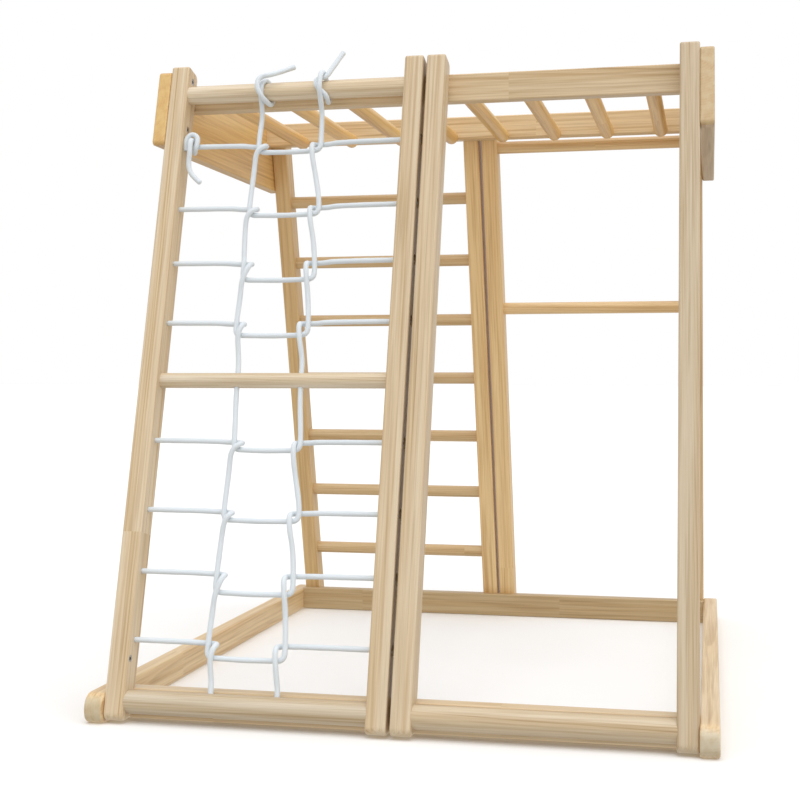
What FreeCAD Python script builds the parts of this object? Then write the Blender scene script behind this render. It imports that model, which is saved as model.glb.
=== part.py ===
import FreeCAD, Part
import math
import os
import Sketcher

V = FreeCAD.Vector
doc = FreeCAD.newDocument("climbing_frame")

# ---------------------------------------------------------------------------
# Driving dimensions, in millimetres and degrees
# ---------------------------------------------------------------------------
sheet = doc.addObject("Spreadsheet::Sheet", "dims")
DIMS = [
    ("lean", 15.0),             # slope of the four panels from upright
    ("width_over_stiles", 943.0),
    ("centre_gap", 6.0),        # slit between the two centre stiles
    ("base_depth", 1226.0),     # outer face of front stile to outer face of rear stile, at the floor
    ("stile_width", 33.5),
    ("stile_depth", 45.0),
    ("stile_top", 1127.0),
    ("stile_foot", 4.5),
    ("end_round", 12.0),
    ("top_round", 5.0),
    ("edge_round", 3.5),
    ("skid_thick", 30.0),
    ("skid_high", 48.0),
    ("skid_nose", 3.0),         # how far the skid runs past the stile
    ("nose_round", 24.0),
    ("nose_under", 19.0),
    ("rail_edge", 3.0),
    ("base_rail_thick", 29.0),
    ("base_rail_high", 49.0),
    ("base_rail_lift", 1.0),
    ("base_rail_in", 50.0),     # outer face of stile at the floor to outer face of base rail
    ("top_rail_thick", 28.0),
    ("top_rail_high", 49.0),
    ("front_rail_low", 1047.0),
    ("front_rail_in", 332.5),
    ("rear_rail_low", 1069.0),
    ("rear_rail_in", 339.5),
    ("board_thick", 24.0),
    ("board_low", 978.0),
    ("board_top", 1116.0),
    ("board_round", 7.0),
    ("top_bar_dia", 32.0),
    ("mid_bar_dia", 26.0),
    ("foot_bar_dia", 38.0),
    ("rung_dia", 26.0),
    ("socket_deep", 12.0),
    ("monkey_dia", 28.0),
    ("monkey_pitch", 110.7),
    ("monkey_height", 1073.5),
    ("tenon_lift", 5.5),        # the tenons sit above the bar's middle, clear of the rear rail's lower edge
    ("tenon_dia", 10.0),
    ("tenon_long", 14.0),
    ("rope_dia", 9.0),
    ("rope_hole", 10.0),
    ("knot_bore", 20.0),
    ("knot_deep", 14.0),
    ("knot_rad", 6.9),
    ("bolt_dia", 8.0),
    ("bolt_head", 13.0),
    ("bolt_sunk", 5.4),
    ("bolt_headthick", 5.0),
    ("nut_dia", 16.0),
    ("nut_long", 8.0),
    ("sleeve_long", 22.0),
    ("insert_dia", 12.0),
    ("insert_deep", 13.0),
    ("insert_bore", 6.0),
    ("screw_dia", 5.0),
    ("screw_head", 10.0),
    ("screw_headthick", 4.0),
]
for i, (alias, value) in enumerate(DIMS):
    sheet.set("A%d" % (i + 1), alias)
    sheet.set("B%d" % (i + 1), repr(value))
    sheet.setAlias("B%d" % (i + 1), alias)
doc.recompute()
d = {alias: float(sheet.get(alias)) for alias, _ in DIMS}

tan = math.tan(math.radians(d["lean"]))
cos = math.cos(math.radians(d["lean"]))
sin = math.sin(math.radians(d["lean"]))
D = d["base_depth"]
DH = d["stile_depth"] / cos           # stile depth measured level
HALF = d["width_over_stiles"] / 2.0
YC = D / 2.0                          # the origin sits midway between front and rear
XO = HALF - d["stile_width"]          # inner face of an outer stile
XI = d["centre_gap"] / 2.0            # inner face of a centre stile, at the slit
XF = XI + d["stile_width"]            # panel face of a centre stile

subparts = []


def keep(obj, label):
    obj.Label = label
    subparts.append(obj)
    return obj


def mid(z, rear=False, n=0.0):
    """Point on a panel's middle plane at height z, n towards the panel's outer side."""
    y = z * tan + DH / 2.0 - n * cos
    zz = z + n * sin
    if rear:
        y = D - y
    return y - YC, zz


def cylinder(name, start, along, radius, height):
    """Cylinder from start towards along; radius and height are expressions on the sheet or numbers."""
    c = doc.addObject("Part::Cylinder", name)
    if isinstance(radius, str):
        c.setExpression("Radius", radius)
    else:
        c.Radius = radius
    if isinstance(height, str):
        c.setExpression("Height", height)
    else:
        c.Height = height
    c.Placement = FreeCAD.Placement(V(*start), FreeCAD.Rotation(V(0, 0, 1), V(*along)))
    return c


def origin_plane(body, role):
    for f in body.Origin.OriginFeatures:
        if f.Role == role:
            return f


def profile_body(name, corners, length, x0, y0=-YC):
    """Body with a closed side profile in the YZ plane, padded along +X from x0.
    Each corner is a pair of expressions on the sheet."""
    body = doc.addObject("PartDesign::Body", name)
    sk = body.newObject("Sketcher::SketchObject", name + "_profile")
    sk.AttachmentSupport = [(origin_plane(body, "YZ_Plane"), "")]
    sk.MapMode = "FlatFace"
    pts = [V(float(sheet_value(a)), float(sheet_value(b)), 0) for a, b in corners]
    n = len(pts)
    for i in range(n):
        sk.addGeometry(Part.LineSegment(pts[i], pts[(i + 1) % n]), False)
    for i in range(n):
        sk.addConstraint(Sketcher.Constraint("Coincident", i, 2, (i + 1) % n, 1))
    for i, (a, b) in enumerate(corners):
        k = sk.addConstraint(Sketcher.Constraint("DistanceX", -1, 1, i, 1, pts[i].x))
        sk.setExpression("Constraints[%d]" % k, a)
        k = sk.addConstraint(Sketcher.Constraint("DistanceY", -1, 1, i, 1, pts[i].y))
        sk.setExpression("Constraints[%d]" % k, b)
    pad = body.newObject("PartDesign::Pad", name + "_pad")
    pad.Profile = sk
    pad.setExpression("Length", length)
    body.Tip = pad
    body.Placement = FreeCAD.Placement(V(x0, y0, 0), FreeCAD.Rotation())
    doc.recompute()
    return body, pad, pts


def sheet_value(expression):
    """Number that an expression on the sheet gives, for placing sketch points."""
    probe = sheet.evalExpression(expression)
    return probe.Value if hasattr(probe, "Value") else probe


def edges_where(shape, test):
    return ["Edge%d" % (i + 1) for i, e in enumerate(shape.Edges) if test(e)]


def along_x(e):
    a, b = e.Vertexes[0].Point, e.Vertexes[-1].Point
    return abs(a.y - b.y) < 1e-6 and abs(a.z - b.z) < 1e-6 and abs(a.x - b.x) > 1e-6


def round_off(body, base, name, names, radius):
    f = body.newObject("PartDesign::Fillet", name)
    f.Base = (base, names)
    f.setExpression("Radius", radius)
    body.Tip = f
    doc.recompute()
    return f


def corner_edge(shape, pt):
    return edges_where(shape, lambda e: along_x(e) and abs(e.Vertexes[0].Point.y - pt.x) < 0.01
                       and abs(e.Vertexes[0].Point.z - pt.y) < 0.01)


def outline(body, base, name, radius):
    names = edges_where(base.Shape, lambda e: not along_x(e))
    return round_off(body, base, name, names, radius)


def finish_with_holes(label, body, cutters):
    """The body less its cutters, as one sub-part."""
    if not cutters:
        return keep(body, label)
    body.Label = label + "_blank"
    tool = doc.addObject("Part::Compound", label + "_cutters")
    tool.Links = cutters
    cut = doc.addObject("Part::Cut", label + "_cut")
    cut.Base = body
    cut.Tool = tool
    return keep(cut, label)


# ---------------------------------------------------------------------------
# Heights of the bars, rope rows and fasteners
# ---------------------------------------------------------------------------
LADDER = [954.0, 820.0, 688.0, 556.0, 422.0, 291.0, 148.0]      # rear left rungs
REAR_TOP, REAR_MID = 1058.0, 712.0                              # rear right bars
FRONT_TOP, FRONT_MID, FRONT_FOOT = 1071.0, 554.0, 32.0          # net panel bars
TOP_FORWARD, FOOT_FORWARD = 5.0, 3.0                            # these two sit towards the front
ROWS = [975.0, 859.0, 760.0, 654.0, 452.0, 337.0, 237.0, 128.0]
MIDROWS = [961.0, 845.0, 729.0, 632.0, 438.0, 323.0, 207.0, 105.0]
BOLT_Z = [1100.0, 1008.0]
INSERT_Z = 97.5
SKID_BOLT_Z = 28.0

# ---------------------------------------------------------------------------
# Stiles: square-cut top, level foot, seats for the base rail and the top rail
# ---------------------------------------------------------------------------
T = "tan(dims.lean)"
FRONT_STILE = [
    ("dims.stile_foot*" + T, "dims.stile_foot"),
    ("dims.stile_top*" + T, "dims.stile_top"),
    ("dims.stile_top*" + T + "+dims.stile_depth*cos(dims.lean)", "dims.stile_top-dims.stile_depth*sin(dims.lean)"),
    ("dims.stile_foot*" + T + "+dims.stile_depth/cos(dims.lean)", "dims.stile_foot"),
]
REAR_STILE = [("dims.base_depth-(%s)" % a, b) for a, b in FRONT_STILE]


def box(name, lo, hi):
    b = doc.addObject("Part::Box", name)
    b.Length, b.Width, b.Height = hi[0] - lo[0], hi[1] - lo[1], hi[2] - lo[2]
    b.Placement = FreeCAD.Placement(V(*lo), FreeCAD.Rotation())
    return b


def rail_seats(label, x0, rear):
    """Level-backed seats that let the leaning stile bear on the upright rails."""
    w = d["stile_width"]
    seats = []
    low, inn = (d["rear_rail_low"], d["rear_rail_in"]) if rear else (d["front_rail_low"], d["front_rail_in"])
    for tag, z0, z1, y in (("foot", -5.0, d["base_rail_lift"] + d["base_rail_high"], d["base_rail_in"]),
                           ("top", low, low + d["top_rail_high"], inn)):
        y0, y1 = y, y + 90.0
        if rear:
            y0, y1 = D - y1, D - y0
        seats.append(box("%s_seat_%s" % (label, tag), (x0 - 1, y0 - YC, z0), (x0 + w + 1, y1 - YC, z1)))
    return seats


def socket(label, x_face, into, z, radius, rear, n=0.0):
    y, zz = mid(z, rear, n)
    return cylinder(label, (x_face, y, zz), (into, 0, 0), radius, "dims.socket_deep")


def stile(label, x0, rear, panel_face, bars, rope_rows=(), outer=0):
    """panel_face: X of the face towards its panel; outer: -1 or +1 when it is an outer stile."""
    body, pad, pts = profile_body(label + "_body", REAR_STILE if rear else FRONT_STILE, "dims.stile_width", x0)
    big = corner_edge(pad.Shape, pts[0]) + corner_edge(pad.Shape, pts[2]) + corner_edge(pad.Shape, pts[3])
    f1 = round_off(body, pad, label + "_ends", big, "dims.end_round")
    f2 = round_off(body, f1, label + "_brow", corner_edge(f1.Shape, pts[1]), "dims.top_round")
    outline(body, f2, label + "_edges", "dims.edge_round")
    cut = rail_seats(label, x0, rear)
    into = 1 if abs(panel_face - x0) < 0.5 else -1
    for i, (z, radius, n) in enumerate(bars):
        cut.append(socket("%s_socket_%d" % (label, i + 1), panel_face, into, z, radius, rear, n))
    far = x0 + d["stile_width"] if into == 1 else x0
    for i, z in enumerate(rope_rows):
        y, zz = mid(z, rear)
        cut.append(cylinder("%s_rope_hole_%d" % (label, i + 1), (x0 - 1, y, zz), (1, 0, 0),
                            "dims.rope_hole/2", "dims.stile_width+2"))
        cut.append(cylinder("%s_knot_bore_%d" % (label, i + 1), (far, y, zz), (-into, 0, 0),
                            "dims.knot_bore/2", "dims.knot_deep"))
    if outer:
        for i, z in enumerate(BOLT_Z):
            y, zz = mid(z, rear)
            if rear:                  # threaded sleeve from the board side, plain inner face
                cut.append(cylinder("%s_sleeve_%d" % (label, i + 1), (outer * HALF, y, zz), (-outer, 0, 0),
                                    "dims.nut_dia/2", "dims.sleeve_long"))
                continue
            cut.append(cylinder("%s_bolt_%d" % (label, i + 1), (-outer + outer * XO, y, zz), (outer, 0, 0),
                                "dims.bolt_dia/2", "dims.stile_width+2"))
            cut.append(cylinder("%s_head_%d" % (label, i + 1), (outer * XO, y, zz), (outer, 0, 0),
                                "dims.bolt_head/2", "dims.bolt_sunk"))
        if not rear:
            y, zz = mid(INSERT_Z, rear, 12.0)
            cut.append(cylinder("%s_insert_hole" % label, (outer * XO, y, zz), (outer, 0, 0),
                                "dims.insert_dia/2", "dims.insert_deep"))
        y, zz = mid(SKID_BOLT_Z, rear)
        cut.append(cylinder("%s_skid_bolt" % label, (outer * HALF, y, zz), (-outer, 0, 0), "dims.bolt_dia/2", 17.0))
    else:
        for i, (p, q) in enumerate(centre_screw_ends(1 if x0 > 0 else -1, rear)):
            cut.append(cylinder("%s_screw_%d" % (label, i + 1), tuple(p), tuple(q - p), "dims.screw_dia/2", (q - p).Length))
            if rear:                  # the head is sunk in the stile's outer face
                cut.append(cylinder("%s_screwhead_%d" % (label, i + 1), (p.x, p.y + 20.0, p.z), (0, -1, 0),
                                    "dims.screw_head/2", "dims.screw_headthick+20"))
    return finish_with_holes(label, body, cut)


def centre_screw_ends(side, rear):
    """Head end and point of the two screws that hold a centre stile to its rails: at the front they go
    through the rail into the stile, at the rear through the stile into the rail."""
    x = side * 11.0
    low, inn = (d["rear_rail_low"], d["rear_rail_in"]) if rear else (d["front_rail_low"], d["front_rail_in"])
    out = []
    for z, y0, y1 in ((38.0, d["base_rail_in"] + d["base_rail_thick"], 25.0),
                      (low + 38.0, inn + d["top_rail_thick"], inn - 26.0)):
        if rear:
            y0, y1 = D - (z * tan + 4.0), D - (y0 - 8.0)
        out.append((V(x, y0 - YC, z), V(x, y1 - YC, z)))
    return out


NET_BARS = [(FRONT_TOP, "dims.top_bar_dia/2", TOP_FORWARD), (FRONT_MID, "dims.mid_bar_dia/2", 0.0),
            (FRONT_FOOT, "dims.foot_bar_dia/2", FOOT_FORWARD)]
DOOR_BARS = [(FRONT_FOOT, "dims.foot_bar_dia/2", FOOT_FORWARD)]
LADDER_BARS = [(z, "dims.rung_dia/2", 0.0) for z in LADDER]
REAR_BARS = [(z, "dims.rung_dia/2", 0.0) for z in (REAR_TOP, REAR_MID)]
W = d["stile_width"]
stile("front_left_stile", -HALF, False, -XO, NET_BARS, ROWS, outer=-1)
stile("front_centre_left_stile", -XF, False, -XF, NET_BARS, ROWS)
stile("front_centre_right_stile", XI, False, XF, DOOR_BARS)
stile("front_right_stile", XO, False, XO, DOOR_BARS, outer=1)
stile("rear_left_stile", -HALF, True, -XO, LADDER_BARS, outer=-1)
stile("rear_centre_left_stile", -XF, True, -XF, LADDER_BARS)
stile("rear_centre_right_stile", XI, True, XF, REAR_BARS)
stile("rear_right_stile", XO, True, XO, REAR_BARS, outer=1)

# ---------------------------------------------------------------------------
# Skids and end boards
# ---------------------------------------------------------------------------
SKID = [("0", "0"), ("0", "dims.skid_high"), ("dims.base_depth+2*dims.skid_nose", "dims.skid_high"),
        ("dims.base_depth+2*dims.skid_nose", "0")]
BOARD = [("dims.board_low*" + T, "dims.board_low"), ("dims.board_top*" + T, "dims.board_top"),
         ("dims.base_depth-dims.board_top*" + T, "dims.board_top"),
         ("dims.base_depth-dims.board_low*" + T, "dims.board_low")]


def rail_centre(rear, top):
    if top:
        y = (d["rear_rail_in"] if rear else d["front_rail_in"]) + d["top_rail_thick"] / 2.0
        z = (d["rear_rail_low"] if rear else d["front_rail_low"]) + d["top_rail_high"] / 2.0
        if rear:
            z += 8.0
    else:
        y = d["base_rail_in"] + d["base_rail_thick"] / 2.0
        z = d["base_rail_lift"] + d["base_rail_high"] / 2.0
    return (D - y if rear else y) - YC, z


for side, tag in ((-1, "left"), (1, "right")):
    label = tag + "_skid"
    x0 = -HALF - d["skid_thick"] if side < 0 else HALF
    body, pad, pts = profile_body(label + "_body", SKID, "dims.skid_thick", x0, -YC - d["skid_nose"])
    f1 = round_off(body, pad, label + "_noses", corner_edge(pad.Shape, pts[1]) + corner_edge(pad.Shape, pts[2]), "dims.nose_round")
    f2 = round_off(body, f1, label + "_unders", corner_edge(f1.Shape, pts[0]) + corner_edge(f1.Shape, pts[3]), "dims.nose_under")
    outline(body, f2, label + "_edges", "dims.edge_round")
    cut = []
    xout = side * (HALF + d["skid_thick"])
    for rear in (False, True):
        end = "rear" if rear else "front"
        y, zz = mid(SKID_BOLT_Z, rear)
        cut.append(cylinder("%s_bolt_%s" % (label, end), (xout + side, y, zz), (-side, 0, 0), "dims.bolt_dia/2", "dims.skid_thick+2"))
        cut.append(cylinder("%s_bolthead_%s" % (label, end), (xout, y, zz), (-side, 0, 0), "dims.bolt_head/2", "dims.bolt_sunk"))
        y, zz = rail_centre(rear, False)
        cut.append(cylinder("%s_screw_%s" % (label, end), (xout + side, y, zz), (-side, 0, 0), "dims.screw_dia/2", "dims.skid_thick+2"))
        cut.append(cylinder("%s_screwhead_%s" % (label, end), (xout, y, zz), (-side, 0, 0), "dims.screw_head/2", "dims.screw_headthick"))
    finish_with_holes(label, body, cut)

    label = tag + "_end_board"
    x0 = -HALF - d["board_thick"] if side < 0 else HALF
    body, pad, pts = profile_body(label + "_body", BOARD, "dims.board_thick", x0)
    f1 = round_off(body, pad, label + "_corners", edges_where(pad.Shape, along_x), "dims.board_round")
    outline(body, f1, label + "_edges", "dims.rail_edge")
    cut = []
    xout = side * (HALF + d["board_thick"])
    for rear in (False, True):
        end = "rear" if rear else "front"
        for i, z in enumerate(BOLT_Z):
            y, zz = mid(z, rear)
            cut.append(cylinder("%s_bolt_%s_%d" % (label, end, i), (xout + side, y, zz), (-side, 0, 0), "dims.bolt_dia/2", "dims.board_thick+2"))
            if rear:
                cut.append(cylinder("%s_head_%s_%d" % (label, end, i), (xout + side, y, zz), (-side, 0, 0), "dims.bolt_head/2", "dims.bolt_sunk+1"))
            else:
                cut.append(cylinder("%s_nut_%s_%d" % (label, end, i), (xout + side, y, zz), (-side, 0, 0), "dims.nut_dia/2", "dims.nut_long+1"))
        y, zz = rail_centre(rear, True)
        cut.append(cylinder("%s_screw_%s" % (label, end), (xout + side, y, zz), (-side, 0, 0), "dims.screw_dia/2", "dims.board_thick+2"))
        cut.append(cylinder("%s_screwhead_%s" % (label, end), (xout, y, zz), (-side, 0, 0), "dims.screw_head/2", "dims.screw_headthick"))
    finish_with_holes(label, body, cut)

# ---------------------------------------------------------------------------
# Rails across the frame
# ---------------------------------------------------------------------------
MONKEY_X = [(i - 3.5) * d["monkey_pitch"] for i in range(8)]


def rail(label, thick, high, y_outer, z_low, rear, top):
    corners = [("0", "0"), ("0", "dims." + high), ("dims." + thick, "dims." + high), ("dims." + thick, "0")]
    y0 = (D - y_outer - d[thick] if rear else y_outer) - YC
    body, pad, pts = profile_body(label + "_body", corners, "dims.width_over_stiles", -HALF, y0)
    body.Placement = FreeCAD.Placement(V(-HALF, y0, z_low), FreeCAD.Rotation())
    round_off(body, pad, label + "_edges", edges_where(pad.Shape, along_x), "dims.rail_edge")
    cut = []
    y, zz = rail_centre(rear, top)
    deep = 36.0 if top else 30.0
    for side in (-1, 1):
        cut.append(cylinder("%s_endscrew_%d" % (label, side), (side * HALF, y, zz), (-side, 0, 0), "dims.screw_dia/2", deep))
        p, q = centre_screw_ends(side, rear)[1 if top else 0]
        cut.append(cylinder("%s_stilescrew_%d" % (label, side), tuple(p), tuple(q - p), "dims.screw_dia/2", (q - p).Length))
        if not rear:
            cut.append(cylinder("%s_stilehead_%d" % (label, side), tuple(p), tuple(q - p), "dims.screw_head/2", "dims.screw_headthick"))
    if top:
        face = (D - y_outer - d[thick] if rear else y_outer + d[thick]) - YC
        for i, x in enumerate(MONKEY_X):
            cut.append(cylinder("%s_tenon_%d" % (label, i + 1), (x, face, d["monkey_height"] + d["tenon_lift"]), (0, 1 if rear else -1, 0),
                                "dims.tenon_dia/2", "dims.tenon_long"))
    return finish_with_holes(label, body, cut)


rail("front_base_rail", "base_rail_thick", "base_rail_high", d["base_rail_in"], d["base_rail_lift"], False, False)
rail("rear_base_rail", "base_rail_thick", "base_rail_high", d["base_rail_in"], d["base_rail_lift"], True, False)
rail("front_top_rail", "top_rail_thick", "top_rail_high", d["front_rail_in"], d["front_rail_low"], False, True)
rail("rear_top_rail", "top_rail_thick", "top_rail_high", d["rear_rail_in"], d["rear_rail_low"], True, True)

# ---------------------------------------------------------------------------
# Round bars
# ---------------------------------------------------------------------------
# The two upright rope lines of the net: where each crosses the rows, the mid bar and the bottom bar
LEFT_LINE = [-300.0, -307.0, -308.0, -312.0, -297.0, -304.0, -307.0, -311.0]
RIGHT_LINE = [-185.0, -180.0, -179.0, -183.0, -181.0, -174.0, -175.0, -180.0]
MID_HOLES = (-301.0, -188.0)
FOOT_HOLES = (-299.0, -187.0)


def cross_bar(label, z, radius, rear, x0, x1, n=0.0, cutters=()):
    """Round bar along X, let into its two stiles."""
    y, zz = mid(z, rear, n)
    deep = d["socket_deep"]
    bar = cylinder(label + "_bar", (x0 - deep, y, zz), (1, 0, 0), radius, x1 - x0 + 2 * deep)
    if cutters:
        return finish_with_holes(label, bar, list(cutters))
    return keep(bar, label)


def slope_hole(label, x, z, height):
    """Hole down the slope of the front panel, from height z."""
    y, zz = mid(z)
    return cylinder(label, (x, y, zz), (0, -sin, -cos), "dims.rope_hole/2", height)


cross_bar("net_top_bar", FRONT_TOP, "dims.top_bar_dia/2", False, -XO, -XF, TOP_FORWARD)
cross_bar("net_mid_bar", FRONT_MID, "dims.mid_bar_dia/2", False, -XO, -XF, 0.0,
          [slope_hole("mid_bar_hole_%d" % (i + 1), x, FRONT_MID + 20, 42.0) for i, x in enumerate(MID_HOLES)])
FOOT_HOLE_END = 22.0
cross_bar("net_bottom_bar", FRONT_FOOT, "dims.foot_bar_dia/2", False, -XO, -XF, FOOT_FORWARD,
          [slope_hole("bottom_bar_hole_%d" % (i + 1), x, 70.0, (70.0 - FOOT_HOLE_END) / cos) for i, x in enumerate(FOOT_HOLES)])
cross_bar("doorway_bottom_bar", FRONT_FOOT, "dims.foot_bar_dia/2", False, XF, XO, FOOT_FORWARD)
for i, z in enumerate(LADDER):
    cross_bar("ladder_rung_%d" % (i + 1), z, "dims.rung_dia/2", True, -XO, -XF)
cross_bar("rear_upper_bar", REAR_TOP, "dims.rung_dia/2", True, XF, XO)
cross_bar("rear_mid_bar", REAR_MID, "dims.rung_dia/2", True, XF, XO)

y_front = d["front_rail_in"] + d["top_rail_thick"] - YC
y_rear = D - d["rear_rail_in"] - d["top_rail_thick"] - YC
for i, x in enumerate(MONKEY_X):
    label = "monkey_bar_%d" % (i + 1)
    z = d["monkey_height"]
    shaft = cylinder(label + "_shaft", (x, y_front, z), (0, 1, 0), "dims.monkey_dia/2", y_rear - y_front)
    spigot = cylinder(label + "_tenons", (x, y_front - d["tenon_long"], z + d["tenon_lift"]), (0, 1, 0), "dims.tenon_dia/2",
                      y_rear - y_front + 2 * d["tenon_long"])
    fuse = doc.addObject("Part::Fuse", label + "_fuse")
    fuse.Base, fuse.Tool = shaft, spigot
    fuse.Refine = True
    keep(fuse, label)

# ---------------------------------------------------------------------------
# Rope net: each rope is straight runs joined by tangent arcs
# ---------------------------------------------------------------------------
R = d["rope_dia"] / 2.0


def net(x, z, n=0.0):
    y, zz = mid(z, False, n)
    return V(x, y, zz)


def rope_path(points):
    """Wire of straight runs with a tangent arc at every inner point; returns wire, length, radii.
    A point may be a pair (point, largest radius)."""
    caps = [q[1] if isinstance(q, tuple) else 45.0 for q in points]
    points = [q[0] if isinstance(q, tuple) else q for q in points]
    edges, radii, length = [], [], 0.0
    last = points[0]
    n = len(points)
    for i in range(1, n - 1):
        a, b, c = points[i - 1], points[i], points[i + 1]
        u, w = (a - b), (c - b)
        lu, lw = u.Length, w.Length
        u, w = u / lu, w / lw
        half = math.acos(max(-1.0, min(1.0, u.dot(w)))) / 2.0      # half the inner angle
        if half > math.radians(89.7):
            raise ValueError("point %d lies on a straight run" % i)
        reach = 0.485 * min(lu, lw)
        r = reach * math.tan(half)
        if r > caps[i]:
            r = caps[i]
            reach = r / math.tan(half)
        p, q = b + u * reach, b + w * reach
        centre_dir = (u + w)
        centre_dir.normalize()
        m = b + centre_dir * (r / math.sin(half) - r)
        if (p - last).Length > 1e-6:
            edges.append(Part.LineSegment(last, p).toShape())
            length += (p - last).Length
        edges.append(Part.Arc(p, m, q).toShape())
        length += r * (math.pi - 2 * half)
        radii.append(round(r, 1))
        last = q
    edges.append(Part.LineSegment(last, points[-1]).toShape())
    length += (points[-1] - last).Length
    return Part.Wire(edges), length, radii


ROPES = {}


def rope(label, points):
    wire, length, radii = rope_path(points)
    ROPES[label] = (points, wire, length)
    start = points[0]
    direction = (points[1][0] if isinstance(points[1], tuple) else points[1]) - start
    ring = Part.Wire([Part.makeCircle(R, start, direction)])
    solid = wire.makePipeShell([ring], True, False)
    expected = math.pi * R * R * length
    print("%s length %.1f radii %s volume/expected %.4f" % (label, length, radii, solid.Volume / expected))
    if abs(solid.Volume / expected - 1.0) > 0.01:
        raise ValueError("rope volume off: " + label)
    f = doc.addObject("Part::Feature", label + "_tube")
    f.Shape = solid
    return keep(f, label)


XL = -HALF + d["knot_deep"]           # floor of the knot bore in the outer stile
XR = -XI - d["knot_deep"]             # floor of the knot bore in the centre stile


def hook_left(k):
    """Turn of row rope k round the upright rope of the row above, at the left line."""
    x, z = LEFT_LINE[k], ROWS[k]
    low = max(17.0, z - MIDROWS[k] + 1.0)         # it stays in front until it is past the row's middle run
    return [net(x - 36, z), net(x - 14, z, -9.2), net(x + 14, z - 0.5, -9.4), net(x + 14, z - 5.5, 9.4),
            net(x - 1, z - low, 9.9), net(x - 4, z - low - 29, 1.0)]


def hook_right(k):
    """The same turn at the right line, where the rope hangs straight down from the turn."""
    x, z = RIGHT_LINE[k], ROWS[k]
    return [net(x - 5, z - 60, 1.0), net(x - 11, z - 30, 9.9), net(x - 14, z - 5.5, 9.4), net(x - 14, z - 0.5, -9.4),
            net(x + 14, z, -9.2), net(x + 36, z)]


def belly(k):
    """The part of a rope that hangs in row k: down, across and up."""
    xa, xb, zm = LEFT_LINE[k], RIGHT_LINE[k], MIDROWS[k]
    return [net(xa, zm + 24), (net(xa, zm), 11.0), net((xa + xb) / 2.0, zm - 1.5), (net(xb, zm), 11.0), net(xb, zm + 24)]


TOPZ = FRONT_TOP
WRAP = d["top_bar_dia"] / 2.0 + R + 0.4            # rope centre round the top bar


def round_bar(x, turn):
    """Points that lead a rope up the front of the top bar and over it; turn is how far round it goes."""
    c = net(x, TOPZ, TOP_FORWARD)
    up, out = V(0, sin, cos), V(0, -cos, sin)
    start = net(x, TOPZ - 62.0)
    rel = start - c
    a, b = rel.dot(out), rel.dot(up)
    dist = math.hypot(a, b)
    first = math.atan2(b, a) + math.acos(WRAP / dist)              # where the rope meets the bar
    steps = 3
    half = (turn - first) / steps / 2.0
    pts = [start]
    for i in range(steps):
        phi = first + (2 * i + 1) * half
        r = WRAP / math.cos(half)
        pts.append(c + out * (r * math.cos(phi)) + up * (r * math.sin(phi)))
    phi = turn
    tip = c + out * (WRAP * math.cos(phi)) + up * (WRAP * math.sin(phi))
    pts.append(tip + (out * (-math.sin(phi)) + up * math.cos(phi)) * 6.0)
    return pts


HITCH_L, HITCH_R = -303.0, -191.0
left_end = round_bar(HITCH_L, math.radians(150))
right_end = round_bar(HITCH_R, math.radians(150))
rope("rope_top", left_end[::-1] + belly(0) + right_end)
for k in range(7):
    left, right = hook_left(k), hook_right(k)
    if k == 3:                        # this rope runs down through the mid bar
        left.append(net(MID_HOLES[0], FRONT_MID + 26))
        left.append(net(MID_HOLES[0], FRONT_MID - 26))
        right.insert(0, net(MID_HOLES[1], FRONT_MID + 26))
        right.insert(0, net(MID_HOLES[1], FRONT_MID - 26))
    rope("rope_row_%d" % (k + 1), [net(XL, ROWS[k])] + left + belly(k + 1) + right + [net(XR, ROWS[k])])
rope("rope_row_8_left", [net(XL, ROWS[7])] + hook_left(7) + [net(FOOT_HOLES[0], 62.0), net(FOOT_HOLES[0], FOOT_HOLE_END + 1.0)])
rope("rope_row_8_right", [net(FOOT_HOLES[1], FOOT_HOLE_END + 1.0), net(FOOT_HOLES[1], 58.0)] + hook_right(7) + [net(XR, ROWS[7])])

# Hitches: one turn of rope beside each upright on the top bar
rings = []
for i, x in enumerate((HITCH_L + 9.6, HITCH_R + 9.6)):
    t = doc.addObject("Part::Torus", "hitch_ring_%d" % (i + 1))
    t.setExpression("Radius1", "dims.top_bar_dia/2+dims.rope_dia/2+0.4")
    t.setExpression("Radius2", "dims.rope_dia/2")
    c = net(x, TOPZ, TOP_FORWARD)
    t.Placement = FreeCAD.Placement(c, FreeCAD.Rotation(V(0, 0, 1), V(1, 0, 0)))
    rings.append(t)
hitches = doc.addObject("Part::Compound", "hitches")
hitches.Links = rings
keep(hitches, "top_bar_hitches")

# Free ends above the top bar, and the free end at the first row
rope("rope_top_tail_left", [net(-295.0, 1104.0, 5.0), net(-270.0, 1113.0, 9.0), net(-242.0, 1119.0, 6.0)])
rope("rope_top_tail_right", [net(-185.0, 1104.0, 5.0), net(-172.0, 1122.0, 9.0), net(-157.0, 1141.0, 6.0)])
knot = doc.addObject("Part::Torus", "row_knot_ring")
knot.setExpression("Radius1", "dims.rope_dia+0.3")
knot.setExpression("Radius2", "dims.rope_dia/2")
knot.Placement = FreeCAD.Placement(net(-XO + 9.0, ROWS[0]), FreeCAD.Rotation(V(0, 0, 1), V(1, 0, 0)))
keep(knot, "row_1_knot")
rope("rope_row_1_tail", [net(-XO + 9.0, ROWS[0] - 14.5, 3.0), net(-XO + 14.0, ROWS[0] - 42.0, 6.0), net(-XO + 34.0, ROWS[0] - 72.0, 5.0)])

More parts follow.
